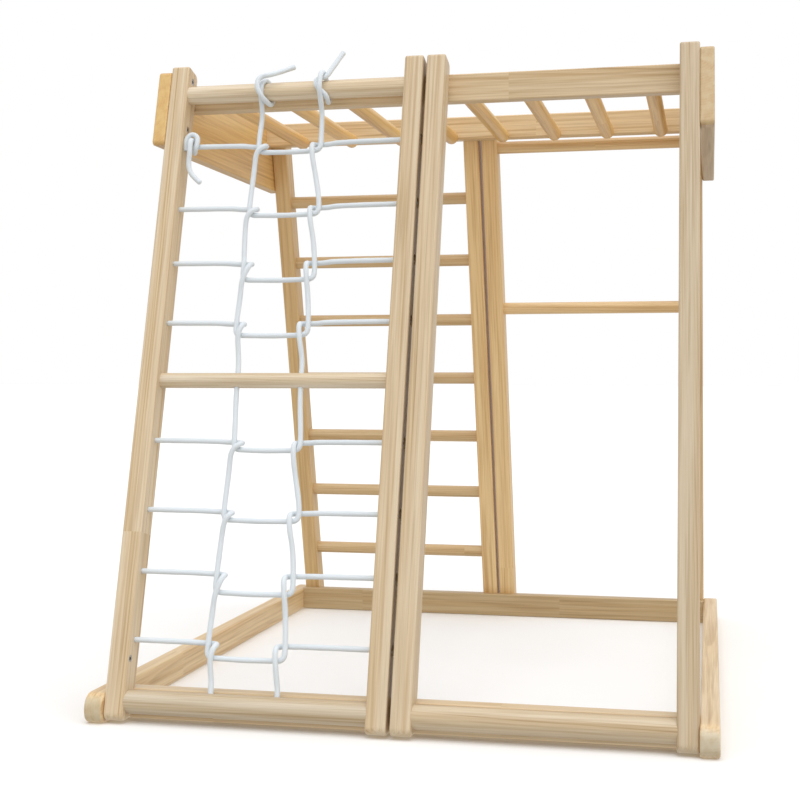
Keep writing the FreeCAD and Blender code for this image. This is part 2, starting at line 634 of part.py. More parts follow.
# Stopper knots in the bores, one at each rope end in a stile
balls = []
for k, z in enumerate(ROWS):
    for tag, x in (("left", XL - d["knot_rad"] - 0.05), ("right", XR + d["knot_rad"] + 0.05)):
        s = doc.addObject("Part::Sphere", "stopper_%s_%d" % (tag, k + 1))
        s.setExpression("Radius", "dims.knot_rad")
        s.Placement = FreeCAD.Placement(net(x, z), FreeCAD.Rotation())
        balls.append(s)
stoppers = doc.addObject("Part::Compound", "stoppers")
stoppers.Links = balls
keep(stoppers, "rope_stopper_knots")

# ---------------------------------------------------------------------------
# Fasteners, each kind one group
# ---------------------------------------------------------------------------


def headed(name, start, along, head_r, head_h, shank_r, total):
    """Head and shank of a bolt or screw in one solid, head end at start."""
    head = cylinder(name + "_head", start, along, head_r, head_h)
    shank = cylinder(name + "_shank", start, along, shank_r, total)
    f = doc.addObject("Part::Fuse", name)
    f.Base, f.Tool = head, shank
    return f


def group(label, members):
    g = doc.addObject("Part::Compound", label + "_group")
    g.Links = members
    return keep(g, label)


bolts, nuts, inserts, skid_bolts, end_screws, stile_screws = [], [], [], [], [], []
for side in (-1, 1):
    for rear in (False, True):
        tag = "%s%s" % ("l" if side < 0 else "r", "r" if rear else "f")
        for i, z in enumerate(BOLT_Z):
            y, zz = mid(z, rear)
            if rear:
                into = -side
                head_x = side * (HALF + d["board_thick"] - d["bolt_sunk"] + d["bolt_headthick"])
                total = abs(head_x) - HALF + d["sleeve_long"]
            else:
                into = side
                head_x = side * (XO + d["bolt_sunk"] - d["bolt_headthick"])
                end_x = HALF + d["board_thick"] - d["nut_long"]
                total = end_x - abs(head_x)
            blank = headed("board_bolt_%s_%d" % (tag, i), (head_x, y, zz), (into, 0, 0), "dims.bolt_head/2", "dims.bolt_headthick",
                           "dims.bolt_dia/2", total)
            key = doc.addObject("Part::Prism", "board_bolt_key_%s_%d" % (tag, i))
            key.Polygon = 6
            key.Circumradius = 3.4
            key.Height = 3.0
            key.Placement = FreeCAD.Placement(V(head_x, y, zz), FreeCAD.Rotation(V(0, 0, 1), V(into, 0, 0)))
            b = doc.addObject("Part::Cut", "board_bolt_keyed_%s_%d" % (tag, i))
            b.Base, b.Tool = blank, key
            bolts.append(b)
            if rear:
                body = cylinder("board_sleeve_body_%s_%d" % (tag, i), (side * HALF, y, zz), (-side, 0, 0), "dims.nut_dia/2", "dims.sleeve_long")
                bore = cylinder("board_sleeve_bore_%s_%d" % (tag, i), (side * HALF, y, zz), (-side, 0, 0), "dims.bolt_dia/2", "dims.sleeve_long")
                c = doc.addObject("Part::Cut", "board_sleeve_%s_%d" % (tag, i))
                c.Base, c.Tool = body, bore
                nuts.append(c)
            else:
                nuts.append(cylinder("board_nut_%s_%d" % (tag, i), (side * end_x, y, zz), (side, 0, 0), "dims.nut_dia/2", "dims.nut_long"))
        if not rear:
            y, zz = mid(INSERT_Z, rear, 12.0)
            body = cylinder("insert_body_" + tag, (side * (XO + 0.3), y, zz), (side, 0, 0), "dims.insert_dia/2", "dims.insert_deep-0.3")
            bore = cylinder("insert_bore_" + tag, (side * (XO + 0.3), y, zz), (side, 0, 0), "dims.insert_bore/2", "dims.insert_deep-2.3")
            c = doc.addObject("Part::Cut", "insert_" + tag)
            c.Base, c.Tool = body, bore
            inserts.append(c)
        y, zz = mid(SKID_BOLT_Z, rear)
        xh = side * (HALF + d["skid_thick"] - d["bolt_sunk"] + d["bolt_headthick"])
        blank = headed("skid_bolt_blank_" + tag, (xh, y, zz), (-side, 0, 0), "dims.bolt_head/2", "dims.bolt_headthick",
                       "dims.bolt_dia/2", abs(xh) - HALF + 17.0)
        key = doc.addObject("Part::Prism", "skid_bolt_key_" + tag)
        key.Polygon = 6
        key.Circumradius = 3.4
        key.Height = 3.0
        key.Placement = FreeCAD.Placement(V(xh, y, zz), FreeCAD.Rotation(V(0, 0, 1), V(-side, 0, 0)))
        b = doc.addObject("Part::Cut", "skid_bolt_" + tag)
        b.Base, b.Tool = blank, key
        skid_bolts.append(b)
        for top in (False, True):
            y, zz = rail_centre(rear, top)
            xh = side * (HALF + (d["board_thick"] if top else d["skid_thick"]))
            end_screws.append(headed("end_screw_%s_%d" % (tag, top), (xh, y, zz), (-side, 0, 0), "dims.screw_head/2",
                                     "dims.screw_headthick", "dims.screw_dia/2", abs(xh) - HALF + (36.0 if top else 30.0)))
        for i, (p, q) in enumerate(centre_screw_ends(side, rear)):
            stile_screws.append(headed("stile_screw_%s_%d" % (tag, i), tuple(p), tuple(q - p), "dims.screw_head/2",
                                       "dims.screw_headthick", "dims.screw_dia/2", (q - p).Length))
group("end_board_bolts", bolts)
group("end_board_nuts", nuts)
group("foot_inserts", inserts)
group("skid_bolts", skid_bolts)
group("rail_end_screws", end_screws)
group("centre_stile_screws", stile_screws)

# ---------------------------------------------------------------------------
# Check everything, then write each sub-part
# ---------------------------------------------------------------------------
doc.recompute()
bad = [o.Name for o in doc.Objects if any(s in ("Invalid", "Error") for s in o.State)]
if bad:
    raise RuntimeError("failed objects: " + ", ".join(bad))
for o in subparts:
    if o.Shape.isNull() or not o.Shape.isValid():
        raise RuntimeError("bad shape: " + o.Label)
    if not o.Shape.Solids:
        raise RuntimeError("no solid: " + o.Label)
labels = [o.Label for o in subparts]
if len(set(labels)) != len(labels) or len(labels) > 60:
    raise RuntimeError("labels not unique or too many")
os.makedirs("parts", exist_ok=True)
for o in subparts:
    o.Shape.exportStep("parts/%s.step" % o.Label)
print("%d sub-parts" % len(subparts))
for o in subparts:
    bb = o.Shape.BoundBox
    print("%-28s solids %2d volume %10.0f  x %7.1f %7.1f  y %7.1f %7.1f  z %7.1f %7.1f" % (
        o.Label, len(o.Shape.Solids), o.Shape.Volume, bb.XMin, bb.XMax, bb.YMin, bb.YMax, bb.ZMin, bb.ZMax))
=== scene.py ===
import math

import bpy
import numpy as np
from mathutils import Matrix, Vector


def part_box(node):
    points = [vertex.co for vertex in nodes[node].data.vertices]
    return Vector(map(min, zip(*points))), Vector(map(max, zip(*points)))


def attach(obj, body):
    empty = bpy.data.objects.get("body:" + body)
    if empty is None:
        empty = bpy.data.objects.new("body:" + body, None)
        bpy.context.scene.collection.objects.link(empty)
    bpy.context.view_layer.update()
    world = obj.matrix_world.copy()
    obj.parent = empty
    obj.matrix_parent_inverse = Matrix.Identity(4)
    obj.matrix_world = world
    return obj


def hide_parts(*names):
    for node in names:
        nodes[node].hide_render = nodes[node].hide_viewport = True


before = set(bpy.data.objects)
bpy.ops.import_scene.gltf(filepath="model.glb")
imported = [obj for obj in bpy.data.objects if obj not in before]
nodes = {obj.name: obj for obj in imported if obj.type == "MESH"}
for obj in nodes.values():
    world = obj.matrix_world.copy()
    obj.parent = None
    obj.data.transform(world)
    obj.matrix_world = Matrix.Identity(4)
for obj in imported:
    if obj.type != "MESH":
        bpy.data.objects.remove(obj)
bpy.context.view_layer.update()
scene = bpy.context.scene
collection = scene.collection

# ---------------------------------------------------------------------------
# Camera: low in front, a little to the right, level lens moved up slightly
# ---------------------------------------------------------------------------
camera_data = bpy.data.cameras.new("camera")
camera_data.sensor_width = 36.0
camera_data.lens = 1397.7 / 800.0 * 36.0
camera_data.shift_x = -0.0005
camera_data.shift_y = -0.0446
camera_data.clip_end = 200.0
camera = bpy.data.objects.new("camera", camera_data)
camera.location = (0.4878, -2.7115, 0.5656)
camera.rotation_euler = (math.radians(90.39), 0.0, math.radians(12.51))
collection.objects.link(camera)
scene.camera = camera

# ---------------------------------------------------------------------------
# Rope net: the route points of each rope, in metres
# ---------------------------------------------------------------------------
ROPE_DIA = 0.009
SLOPE = math.radians(15.0)
BAR_Y, BAR_Z = -0.30756, 1.07229          # axis of the net's top bar


def net(x, z, n=0.0):
    """Point of the net's leaning plane from millimetres: across, height, and out towards the front."""
    y = z * math.tan(SLOPE) + 22.5 / math.cos(SLOPE) - n * math.cos(SLOPE) - 613.0
    return (x / 1000.0, y / 1000.0, (z + n * math.sin(SLOPE)) / 1000.0)


def on_bar(x, angle, r):
    """Point round the top bar from millimetres and degrees; angle 0 is its front, 90 its top."""
    a = math.radians(angle) + SLOPE
    return (x / 1000.0, BAR_Y - r / 1000.0 * math.cos(a), BAR_Z + r / 1000.0 * math.sin(a))


ROUTES = {
    "rope_row_1": (0.7662, [(-0.4560, -0.3285, 0.9750), (-0.3360, -0.3285, 0.9750), (-0.3140, -0.3196, 0.9726), (-0.2860, -0.3195, 0.9721), (-0.2860, -0.3390, 0.9719), (-0.3010, -0.3426, 0.9606), (-0.3040, -0.3417, 0.9293), (-0.3070, -0.3569, 0.8690), (-0.3070, -0.3633, 0.8450), (-0.2830, -0.3635, 0.8444), (-0.2435, -0.3637, 0.8435), (-0.2040, -0.3635, 0.8444), (-0.1800, -0.3633, 0.8450), (-0.1800, -0.3569, 0.8690), (-0.1900, -0.3455, 0.9153), (-0.1960, -0.3461, 0.9476), (-0.1990, -0.3390, 0.9719), (-0.1990, -0.3195, 0.9721), (-0.1710, -0.3196, 0.9726), (-0.1490, -0.3285, 0.9750), (-0.0170, -0.3285, 0.9750)]),
    "rope_row_2": (0.7555, [(-0.4560, -0.3595, 0.8590), (-0.3430, -0.3595, 0.8590), (-0.3210, -0.3507, 0.8566), (-0.2930, -0.3506, 0.8561), (-0.2930, -0.3701, 0.8559), (-0.3080, -0.3737, 0.8446), (-0.3110, -0.3728, 0.8133), (-0.3080, -0.3879, 0.7530), (-0.3080, -0.3944, 0.7290), (-0.2840, -0.3945, 0.7284), (-0.2435, -0.3948, 0.7275), (-0.2030, -0.3945, 0.7284), (-0.1790, -0.3944, 0.7290), (-0.1790, -0.3879, 0.7530), (-0.1850, -0.3766, 0.7993), (-0.1910, -0.3771, 0.8316), (-0.1940, -0.3701, 0.8559), (-0.1940, -0.3506, 0.8561), (-0.1660, -0.3507, 0.8566), (-0.1440, -0.3595, 0.8590), (-0.0170, -0.3595, 0.8590)]),
    "rope_row_3": (0.7464, [(-0.4560, -0.3861, 0.7600), (-0.3440, -0.3861, 0.7600), (-0.3220, -0.3772, 0.7576), (-0.2940, -0.3771, 0.7571), (-0.2940, -0.3966, 0.7569), (-0.3060, -0.4042, 0.7306), (-0.3090, -0.4034, 0.6993), (-0.3120, -0.4139, 0.6560), (-0.3120, -0.4204, 0.6320), (-0.2880, -0.4205, 0.6314), (-0.2475, -0.4208, 0.6305), (-0.2070, -0.4205, 0.6314), (-0.1830, -0.4204, 0.6320), (-0.1830, -0.4139, 0.6560), (-0.1870, -0.4031, 0.7003), (-0.1900, -0.4037, 0.7326), (-0.1930, -0.3966, 0.7569), (-0.1930, -0.3771, 0.7571), (-0.1650, -0.3772, 0.7576), (-0.1430, -0.3861, 0.7600), (-0.0170, -0.3861, 0.7600)]),
    "rope_row_4": (0.9200, [(-0.4560, -0.4145, 0.6540), (-0.3480, -0.4145, 0.6540), (-0.3260, -0.4056, 0.6516), (-0.2980, -0.4055, 0.6511), (-0.2980, -0.4250, 0.6509), (-0.3050, -0.4302, 0.6336), (-0.3030, -0.4304, 0.6023), (-0.3010, -0.4343, 0.5800), (-0.3010, -0.4482, 0.5280), (-0.2970, -0.4659, 0.4620), (-0.2970, -0.4723, 0.4380), (-0.2730, -0.4725, 0.4374), (-0.2390, -0.4727, 0.4365), (-0.2050, -0.4725, 0.4374), (-0.1810, -0.4723, 0.4380), (-0.1810, -0.4659, 0.4620), (-0.1880, -0.4482, 0.5280), (-0.1880, -0.4343, 0.5800), (-0.1895, -0.4315, 0.5963), (-0.1940, -0.4321, 0.6266), (-0.1970, -0.4250, 0.6509), (-0.1970, -0.4055, 0.6511), (-0.1690, -0.4056, 0.6516), (-0.1470, -0.4145, 0.6540), (-0.0170, -0.4145, 0.6540)]),
    "rope_row_5": (0.7666, [(-0.4560, -0.4686, 0.4520), (-0.3330, -0.4686, 0.4520), (-0.3110, -0.4597, 0.4496), (-0.2830, -0.4596, 0.4491), (-0.2830, -0.4791, 0.4489), (-0.2980, -0.4827, 0.4376), (-0.3010, -0.4819, 0.4063), (-0.3040, -0.4967, 0.3470), (-0.3040, -0.5032, 0.3230), (-0.2800, -0.5033, 0.3224), (-0.2390, -0.5036, 0.3215), (-0.1980, -0.5033, 0.3224), (-0.1740, -0.5032, 0.3230), (-0.1740, -0.4967, 0.3470), (-0.1840, -0.4856, 0.3923), (-0.1880, -0.4862, 0.4246), (-0.1900, -0.4791, 0.4489), (-0.1900, -0.4596, 0.4491), (-0.1670, -0.4597, 0.4496), (-0.1450, -0.4686, 0.4520), (-0.0170, -0.4686, 0.4520)]),
    "rope_row_6": (0.7553, [(-0.4560, -0.4994, 0.3370), (-0.3400, -0.4994, 0.3370), (-0.3180, -0.4905, 0.3346), (-0.2900, -0.4905, 0.3341), (-0.2900, -0.5100, 0.3339), (-0.2990, -0.5135, 0.3226), (-0.3040, -0.5127, 0.2913), (-0.3070, -0.5278, 0.2310), (-0.3070, -0.5342, 0.2070), (-0.2830, -0.5343, 0.2065), (-0.2410, -0.5346, 0.2055), (-0.1990, -0.5343, 0.2065), (-0.1750, -0.5342, 0.2070), (-0.1750, -0.5278, 0.2310), (-0.1790, -0.5165, 0.2773), (-0.1850, -0.5170, 0.3096), (-0.1880, -0.5100, 0.3339), (-0.1880, -0.4905, 0.3341), (-0.1600, -0.4905, 0.3346), (-0.1380, -0.4994, 0.3370), (-0.0170, -0.4994, 0.3370)]),
    "rope_row_7": (0.7537, [(-0.4560, -0.5262, 0.2370), (-0.3430, -0.5262, 0.2370), (-0.3210, -0.5173, 0.2346), (-0.2930, -0.5173, 0.2341), (-0.2930, -0.5368, 0.2339), (-0.3035, -0.5441, 0.2086), (-0.3080, -0.5432, 0.1773), (-0.3110, -0.5551, 0.1290), (-0.3110, -0.5616, 0.1050), (-0.2870, -0.5617, 0.1045), (-0.2455, -0.5620, 0.1035), (-0.2040, -0.5617, 0.1045), (-0.1800, -0.5616, 0.1050), (-0.1800, -0.5551, 0.1290), (-0.1835, -0.5432, 0.1773), (-0.1860, -0.5438, 0.2096), (-0.1890, -0.5368, 0.2339), (-0.1890, -0.5173, 0.2341), (-0.1610, -0.5173, 0.2346), (-0.1390, -0.5262, 0.2370), (-0.0170, -0.5262, 0.2370)]),
    "rope_row_8_left": (0.2862, [(-0.4560, -0.5554, 0.1280), (-0.3470, -0.5554, 0.1280), (-0.3250, -0.5465, 0.1256), (-0.2970, -0.5465, 0.1251), (-0.2970, -0.5660, 0.1249), (-0.3030, -0.5714, 0.1066), (-0.3005, -0.5706, 0.0753), (-0.2990, -0.5731, 0.0620), (-0.2990, -0.5835, 0.0230)]),
    "rope_row_8_right": (0.2961, [(-0.1870, -0.5835, 0.0230), (-0.1870, -0.5742, 0.0580), (-0.1885, -0.5725, 0.0683), (-0.1915, -0.5730, 0.1006), (-0.1940, -0.5660, 0.1249), (-0.1940, -0.5465, 0.1251), (-0.1660, -0.5465, 0.1256), (-0.1440, -0.5554, 0.1280), (-0.0170, -0.5554, 0.1280)]),
}

# The top rope with its two hitches on the bar and its free tails, from tail to tail
TOP_ROUTE = [
    (-0.2420, -0.2957, 1.1192), (-0.2630, -0.3080, 1.1090),
    on_bar(-279, 37, 34.5), on_bar(-290.5, 32, 35.0), on_bar(-299, 20, 34.5),
    on_bar(-300.5, -1, 33.5), on_bar(-297, -20, 34.5), on_bar(-291, -42, 32.5), on_bar(-287, -75, 24.0),
    on_bar(-285.5, -118, 23.0), on_bar(-286, -168, 23.0), on_bar(-288.8, -218, 23.0),
    on_bar(-291.5, -262, 22.6), on_bar(-294, 55, 22.8), on_bar(-296, 8, 22.8), on_bar(-297, -25, 21.4),
    net(-298, 1030, -1.0), net(-299.5, 1000),
    (-0.3000, -0.3258, 0.9850), (-0.3000, -0.3322, 0.9610), (-0.2760, -0.3325, 0.9600),
    (-0.2425, -0.3326, 0.9595), (-0.2090, -0.3325, 0.9600), (-0.1850, -0.3322, 0.9610), (-0.1850, -0.3258, 0.9850),
    net(-185.5, 1000), net(-185.5, 1026, 3.0),
    on_bar(-185.3, -58, 31.0), on_bar(-185.2, -22, 33.5), on_bar(-185, 10, 32.0), on_bar(-184.8, 38, 34.5),
    on_bar(-184.6, 66, 31.0), on_bar(-184.2, 100, 23.8),
    on_bar(-183.4, 142, 23.2), on_bar(-182, 186, 23.2), on_bar(-179.5, 226, 23.2), on_bar(-177, 264, 23.0), on_bar(-175.5, 296, 22.4),
    on_bar(-180, 320, 21.8), on_bar(-188, 338, 22.0), on_bar(-194.5, 360, 23.2), on_bar(-194.5, 386, 23.6),
    on_bar(-187, 402, 22.8), on_bar(-178, 406, 23.6),
    (-0.1690, -0.3100, 1.1100), (-0.1530, -0.2898, 1.1426),
]
# The free end that is tied round the first row at the left stile: a ring, a turn round the row, and out through the ring
TIE_ROUTE = [
    net(-434.5, 966, 7.0), net(-436.0, 976, 9.4), net(-434.5, 989.5, 9.6), net(-424.0, 996.5, 9.6), net(-413.5, 989.5, 9.6), net(-413.5, 978, 9.8),
    net(-416, 968.5, 9.2), net(-421.5, 964, 0.0), net(-424.5, 968, -11.5), net(-425, 983, -12.5), net(-425, 989, -3.0),
    net(-424.8, 984.5, 7.0), net(-423.0, 979.5, 20.5), net(-421.5, 962, 21.0), net(-424.5, 945, 15.0), net(-424, 930, 12.0),
    net(-416, 916, 10.0), net(-400, 903.5, 9.0),
]


def spline_line(name, points):
    """Points along the smooth spline that has these route points as its control points."""
    curve = bpy.data.curves.new(name + "_route", "CURVE")
    curve.dimensions = "3D"
    curve.resolution_u = 24
    spline = curve.splines.new("NURBS")
    spline.points.add(len(points) - 1)
    for p, c in zip(spline.points, points):
        p.co = (c[0], c[1], c[2], 1.0)
    spline.order_u = 3
    spline.use_endpoint_u = True
    guide = bpy.data.objects.new(name + "_route", curve)
    collection.objects.link(guide)
    bpy.context.view_layer.update()
    mesh = bpy.data.meshes.new_from_object(guide.evaluated_get(bpy.context.evaluated_depsgraph_get()))
    line = np.array([v.co for v in mesh.vertices], float)
    bpy.data.objects.remove(guide)
    bpy.data.curves.remove(curve)
    bpy.data.meshes.remove(mesh)
    keep = np.r_[True, np.linalg.norm(np.diff(line, axis=0), axis=1) > 1e-6]
    return line[keep]


def even(line, step):
    """The same line with its rings evenly spaced, for an even braid."""
    along = np.r_[0.0, np.cumsum(np.linalg.norm(np.diff(line, axis=0), axis=1))]
    count = max(8, int(along[-1] / step))
    at = np.linspace(0.0, along[-1], count + 1)
    return np.stack([np.interp(at, along, line[:, k]) for k in range(3)], 1), at


AROUND = 24
STRANDS = 6                 # strands of each hand in the braid
PLAIT = 0.0042              # length of one plait along the rope


def braided(name, points, loose=(False, False)):
    """Braided rope as one mesh: two families of strands that pass over and under each other."""
    line, at = even(spline_line(name, points), 0.00085)
    n = len(line)
    tangent = np.gradient(line, axis=0)
    tangent /= np.linalg.norm(tangent, axis=1)[:, None]
    ref = np.array((0.0, 0.0, 1.0)) if abs(tangent[0, 2]) < 0.9 else np.array((1.0, 0.0, 0.0))
    side = np.cross(tangent[0], ref)
    side /= np.linalg.norm(side)
    sides = np.zeros_like(line)
    for i in range(n):      # carried along the line without twist
        side = side - tangent[i] * side.dot(tangent[i])
        side /= np.linalg.norm(side)
        sides[i] = side
    ups = np.cross(tangent, sides)
    turn = np.arange(AROUND) / AROUND
    u = STRANDS * turn[None, :] + at[:, None] / PLAIT
    v = STRANDS * turn[None, :] - at[:, None] / PLAIT
    over = (np.floor(u) + np.floor(v)) % 2 == 0
    height = np.where(over, np.abs(np.sin(np.pi * u)), np.abs(np.sin(np.pi * v)))
    radius = ROPE_DIA / 2.0 - 0.00032 + 0.00042 * height
    radius *= (1.0 + 0.018 * np.sin(at * 2 * np.pi / 0.061 + 1.3) + 0.012 * np.sin(at * 2 * np.pi / 0.023))[:, None]
    for end, is_loose in ((0, loose[0]), (-1, loose[1])):
        if is_loose:        # a cut end: a sealed, slightly swollen tip
            d = at if end == 0 else at[-1] - at
            radius *= np.where(d < 0.004, 0.90 + 0.16 * np.sin(np.clip(d / 0.004, 0, 1) * np.pi / 2), 1.0)[:, None]
            radius *= np.where(d < 0.0017, 0.62 + 0.38 * np.sqrt(np.clip(d / 0.0017, 0, 1)), 1.0)[:, None]
    angle = 2 * np.pi * turn
    ring = np.cos(angle)[None, :, None] * sides[:, None, :] + np.sin(angle)[None, :, None] * ups[:, None, :]
    co = (line[:, None, :] + radius[:, :, None] * ring).reshape(-1, 3)
    i = np.arange(n - 1)[:, None] * AROUND
    j = np.arange(AROUND)[None, :]
    k = (j + 1) % AROUND
    quads = np.stack([i + j, i + k, i + AROUND + k, i + AROUND + j], -1).reshape(-1, 4)
    first, last = len(co), len(co) + 1
    co = np.vstack([co, line[0] - tangent[0] * 0.0006, line[-1] + tangent[-1] * 0.0006])
    faces = [tuple(q) for q in quads.tolist()]
    faces += [(first, int(b), int(a)) for a, b in zip(range(AROUND), np.roll(np.arange(AROUND), -1))]
    base = (n - 1) * AROUND
    faces += [(last, int(base + a), int(base + b)) for a, b in zip(range(AROUND), np.roll(np.arange(AROUND), -1))]
    mesh = bpy.data.meshes.new(name)
    mesh.from_pydata([tuple(c) for c in co.tolist()], [], faces)
    mesh.validate()
    mesh.polygons.foreach_set("use_smooth", np.ones(len(mesh.polygons), bool))
    crown = mesh.attributes.new("crown", "FLOAT", "POINT")
    crown.data.foreach_set("value", np.r_[height.reshape(-1), 1.0, 1.0].astype(np.float32))
    piece = bpy.data.objects.new(name, mesh)
    collection.objects.link(piece)
    return piece, line


ropes = []


def lay_rope(name, points, length, stands_for, loose=(False, False)):
    piece, line = braided(name, points, loose)
    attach(piece, "root")
    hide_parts(*stands_for)
    measured = float(np.linalg.norm(np.diff(line, axis=0), axis=1).sum())
    print("rope %s measures %.4f, said %.4f" % (name, measured, length))
    ropes.append(piece)
    return piece


for route_name, (route_length, route_points) in ROUTES.items():
    exit_at = route_points[0]
    exit_at = (exit_at[0] + (0.018 if exit_at[0] < -0.4 else 0.0), exit_at[1], exit_at[2])
    lay_rope("braid_" + route_name[5:], route_points, route_length, [route_name])
lay_rope("braid_top", TOP_ROUTE, 0.841,
         ["rope_top", "top_bar_hitches", "rope_top_tail_left", "rope_top_tail_right"], (True, True))
lay_rope("braid_tie", TIE_ROUTE, 0.228, ["row_1_knot", "rope_row_1_tail"], (False, True))

# ---------------------------------------------------------------------------
# Materials
# ---------------------------------------------------------------------------


def new_material(name):
    m = bpy.data.materials.new(name)
    m.use_nodes = True
    tree = m.node_tree
    tree.nodes.clear()
    out = tree.nodes.new("ShaderNodeOutputMaterial")
    bsdf = tree.nodes.new("ShaderNodeBsdfPrincipled")
    tree.links.new(bsdf.outputs["BSDF"], out.inputs["Surface"])
    return m, tree, bsdf


def add(tree, kind, **values):
    node = tree.nodes.new(kind)
    for key, value in values.items():
        setattr(node, key, value)
    return node


def ramp(tree, stops):
    node = add(tree, "ShaderNodeValToRGB")
    e = node.color_ramp.elements
    e[0].position, e[0].color = stops[0][0], (*stops[0][1], 1.0)
    e[1].position, e[1].color = stops[-1][0], (*stops[-1][1], 1.0)
    for position, colour in stops[1:-1]:
        x = e.new(position)
        x.color = (*colour, 1.0)
    return node


def math_node(tree, operation, a, b=None, clamp=False):
    node = add(tree, "ShaderNodeMath", operation=operation, use_clamp=clamp)
    for socket, value in ((node.inputs[0], a), (node.inputs[1], b)):
        if value is None:
            continue
        if isinstance(value, (int, float)):
            socket.default_value = value
        else:
            tree.links.new(value, socket)
    return node.outputs[0]


def mixed(tree, mode, factor, a, b):
    node = add(tree, "ShaderNodeMix", data_type="RGBA", blend_type=mode)
    for socket, value in ((node.inputs[0], factor), (node.inputs[6], a), (node.inputs[7], b)):
        if isinstance(value, (int, float)):
            socket.default_value = value
        elif isinstance(value, tuple):
            socket.default_value = (*value, 1.0)
        else:
            tree.links.new(value, socket)
    return node.outputs[2]


def noise(tree, vector, scale, detail=3.0, rough=0.55, distortion=0.0):
    node = add(tree, "ShaderNodeTexNoise")
    node.inputs["Scale"].default_value = scale
    node.inputs["Detail"].default_value = detail
    node.inputs["Roughness"].default_value = rough
    node.inputs["Distortion"].default_value = distortion
    tree.links.new(vector, node.inputs["Vector"])
    return node


def mapping(tree, vector, location=(0, 0, 0), rotation=(0, 0, 0), scale=(1, 1, 1)):
    node = add(tree, "ShaderNodeMapping")
    node.inputs["Location"].default_value = location
    node.inputs["Rotation"].default_value = rotation
    node.inputs["Scale"].default_value = scale
    tree.links.new(vector, node.inputs["Vector"])
    return node.outputs[0]


